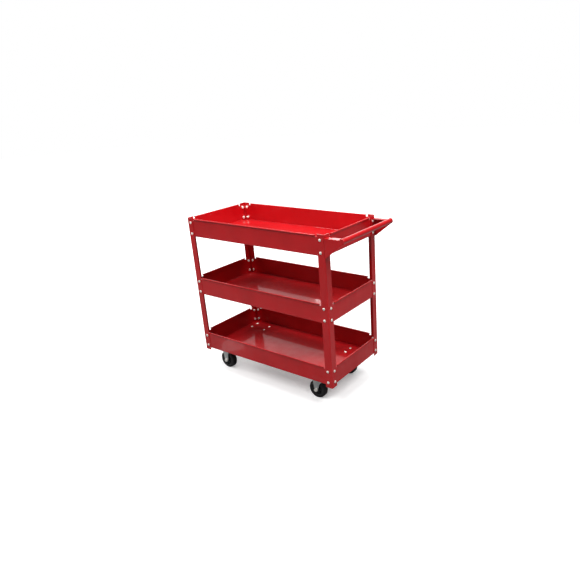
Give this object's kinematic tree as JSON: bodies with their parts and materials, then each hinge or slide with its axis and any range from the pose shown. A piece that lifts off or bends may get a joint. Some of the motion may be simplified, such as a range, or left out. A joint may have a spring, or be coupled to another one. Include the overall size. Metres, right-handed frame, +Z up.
{
  "type": "tool cart",
  "caption": "Steel service cart with open trays between angle posts, a tubular push handle at one end and casters below.",
  "frame": {"origin": "on the floor, under the centre of the cart's overall box", "axes": "+X points to the handle end, +Z is up, left is -Y for a person pushing by the handle"},
  "size_m": [0.7614, 0.3368, 0.681],
  "materials": {
    "red_enamel": "glossy enamel",
    "bright_zinc": "bright zinc plate",
    "caster_zinc": "satin zinc plate",
    "bearing_steel": "ground",
    "hub_plastic": "moulded",
    "tyre_rubber": "moulded"
  },
  "bodies": {
    "chassis": {"bottom_tray": "red_enamel", "bottom_tray_nuts": "bright_zinc", "bottom_tray_screws": "bright_zinc", "caster_nuts": "bright_zinc", "caster_screws": "bright_zinc", "front_left_axle": "bright_zinc", "front_left_axle_nut": "bright_zinc", "front_left_fork": "caster_zinc", "front_left_post": "red_enamel", "front_left_sleeve": "bearing_steel", "front_right_axle": "bright_zinc", "front_right_axle_nut": "bright_zinc", "front_right_fork": "caster_zinc", "front_right_post": "red_enamel", "front_right_sleeve": "bearing_steel", "handle_grip": "red_enamel", "handle_left_wing": "red_enamel", "handle_nuts": "bright_zinc", "handle_right_wing": "red_enamel", "handle_screws": "bright_zinc", "middle_tray": "red_enamel", "middle_tray_nuts": "bright_zinc", "middle_tray_screws": "bright_zinc", "rear_left_kingpin": "caster_zinc", "rear_left_plate": "caster_zinc", "rear_left_post": "red_enamel", "rear_left_race": "caster_zinc", "rear_right_kingpin": "caster_zinc", "rear_right_plate": "caster_zinc", "rear_right_post": "red_enamel", "rear_right_race": "caster_zinc", "top_tray": "red_enamel", "top_tray_nuts": "bright_zinc", "top_tray_screws": "bright_zinc"},
    "rear_left_swivel": {"rear_left_fork": "caster_zinc", "rear_left_balls": "bearing_steel", "rear_left_axle": "bright_zinc", "rear_left_axle_nut": "bright_zinc", "rear_left_sleeve": "bearing_steel"},
    "rear_right_swivel": {"rear_right_fork": "caster_zinc", "rear_right_balls": "bearing_steel", "rear_right_axle": "bright_zinc", "rear_right_axle_nut": "bright_zinc", "rear_right_sleeve": "bearing_steel"},
    "front_left_wheel": {"front_left_hub": "hub_plastic", "front_left_tyre": "tyre_rubber"},
    "front_right_wheel": {"front_right_hub": "hub_plastic", "front_right_tyre": "tyre_rubber"},
    "rear_left_wheel": {"rear_left_hub": "hub_plastic", "rear_left_tyre": "tyre_rubber"},
    "rear_right_wheel": {"rear_right_hub": "hub_plastic", "rear_right_tyre": "tyre_rubber"}
  },
  "joints": [
    {"name": "front_left_wheel_spin", "type": "hinge", "parent": "chassis", "child": "front_left_wheel", "pos_m": [-0.3023, -0.108, 0.0375], "axis": [0, 1, 0], "continuous": true},
    {"name": "front_right_wheel_spin", "type": "hinge", "parent": "chassis", "child": "front_right_wheel", "pos_m": [-0.3023, 0.108, 0.0375], "axis": [0, 1, 0], "continuous": true},
    {"name": "rear_left_swivel_turn", "type": "hinge", "parent": "chassis", "child": "rear_left_swivel", "pos_m": [0.2277, -0.108, 0.09], "axis": [0, 0, 1], "continuous": true},
    {"name": "rear_left_wheel_spin", "type": "hinge", "parent": "rear_left_swivel", "child": "rear_left_wheel", "pos_m": [0.1927, -0.108, 0.0375], "axis": [0, 1, 0], "continuous": true},
    {"name": "rear_right_swivel_turn", "type": "hinge", "parent": "chassis", "child": "rear_right_swivel", "pos_m": [0.2277, 0.108, 0.09], "axis": [0, 0, 1], "continuous": true},
    {"name": "rear_right_wheel_spin", "type": "hinge", "parent": "rear_right_swivel", "child": "rear_right_wheel", "pos_m": [0.1927, 0.108, 0.0375], "axis": [0, 1, 0], "continuous": true}
  ]
}
